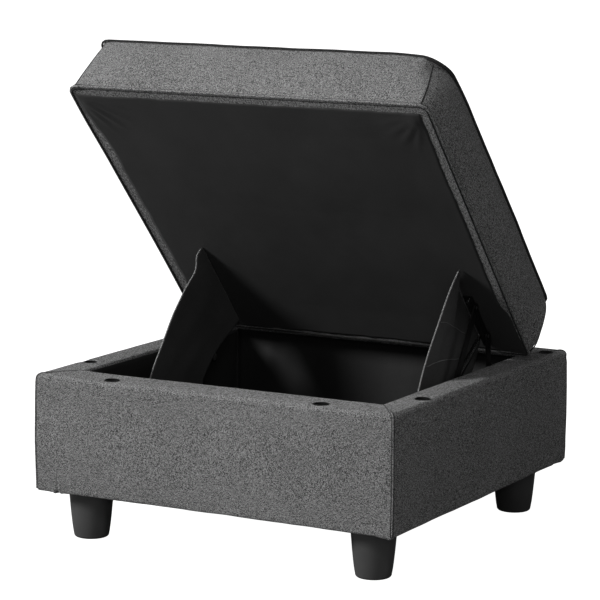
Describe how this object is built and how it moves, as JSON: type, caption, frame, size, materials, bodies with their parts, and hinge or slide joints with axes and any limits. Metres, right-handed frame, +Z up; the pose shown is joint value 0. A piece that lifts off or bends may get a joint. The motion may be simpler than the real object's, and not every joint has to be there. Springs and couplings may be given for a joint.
{
  "type": "storage ottoman",
  "caption": "Square upholstered storage ottoman on short tapered legs, its padded lid lifted open on linked hinges, with fabric hinge guards and peg sockets in the rim.",
  "frame": {"origin": "on the floor, under the middle of the box", "axes": "+Z up; -Y is the front, where the lid opens; +X is the right side seen from the front"},
  "size_m": [0.652, 0.65, 0.8063],
  "materials": {
    "panel_board": "plain particle board",
    "timber": "sawn softwood",
    "foam": "open-cell foam",
    "upholstery": "heathered grey linen-look weave",
    "piping": "heathered grey linen-look weave, bias cut",
    "dust_cover": "black non-woven",
    "lining": "black non-woven with a soft sheen",
    "guard_fabric": "black non-woven, cut edges",
    "bush_plastic": "moulded black",
    "leg_plastic": "satin black moulded",
    "zinc_steel": "zinc plated",
    "hinge_steel": "black powder coat",
    "spring_steel": "black phosphated wire"
  },
  "bodies": {
    "base": {"front_panel": "panel_board", "rear_panel": "panel_board", "left_panel": "panel_board", "right_panel": "panel_board", "front_rail": "timber", "rear_rail": "timber", "left_rail": "timber", "right_rail": "timber", "front_rim_pad": "foam", "rear_rim_pad": "foam", "left_rim_pad": "foam", "right_rim_pad": "foam", "corner_posts": "timber", "leg_blocks": "timber", "floor_panel": "panel_board", "base_cover": "upholstery", "base_dust_cover": "dust_cover", "front_lining": "lining", "rear_lining": "lining", "left_lining": "lining", "right_lining": "lining", "floor_lining": "lining", "socket_bushes": "bush_plastic", "leg_front_left": "leg_plastic", "leg_front_right": "leg_plastic", "leg_rear_left": "leg_plastic", "leg_rear_right": "leg_plastic", "leg_bolts": "zinc_steel", "leg_nuts": "zinc_steel", "hinge_plate_left": "hinge_steel", "hinge_plate_right": "hinge_steel", "plate_screws": "zinc_steel", "plate_pins": "zinc_steel", "spring_left": "spring_steel", "spring_right": "spring_steel", "flap_left": "guard_fabric", "flap_right": "guard_fabric"},
    "rear_links": {"rear_link_left": "hinge_steel", "rear_link_right": "hinge_steel"},
    "front_links": {"front_link_left": "hinge_steel", "front_link_right": "hinge_steel", "front_link_pins": "zinc_steel"},
    "lid": {"lid_bracket_left": "hinge_steel", "lid_bracket_right": "hinge_steel", "lid_front_rail": "timber", "lid_rear_rail": "timber", "lid_left_rail": "timber", "lid_right_rail": "timber", "lid_cross_rail": "timber", "lid_deck": "panel_board", "lid_foam": "foam", "lid_cover": "upholstery", "lid_dust_cover": "dust_cover", "lid_top_piping": "piping", "lid_bottom_piping": "piping", "bracket_screws": "zinc_steel", "bracket_pins": "zinc_steel"}
  },
  "joints": [
    {"name": "rear_link_swing", "type": "hinge", "parent": "base", "child": "rear_links", "pos_m": [0, 0.14, 0.23557], "axis": [-1, 0, 0], "range_deg": [0, 74.7], "deforming": ["spring_left", "spring_right"]},
    {"name": "lid_lift", "type": "hinge", "parent": "rear_links", "child": "lid", "pos_m": [0, 0.13138, 0.3209], "axis": [-1, 0, 0], "range_deg": [-122.8, 0], "deforming": ["flap_left", "flap_right"]},
    {"name": "front_link_swing", "type": "hinge", "parent": "base", "child": "front_links", "pos_m": [0, 0.007, 0.25556], "axis": [-1, 0, 0], "range_deg": [0, 53]}
  ],
  "couplings": [
    {"joint": "rear_link_swing", "follows": "lid_lift", "ratio": -0.60759},
    {"joint": "front_link_swing", "follows": "lid_lift", "ratio": -0.43044}
  ]
}
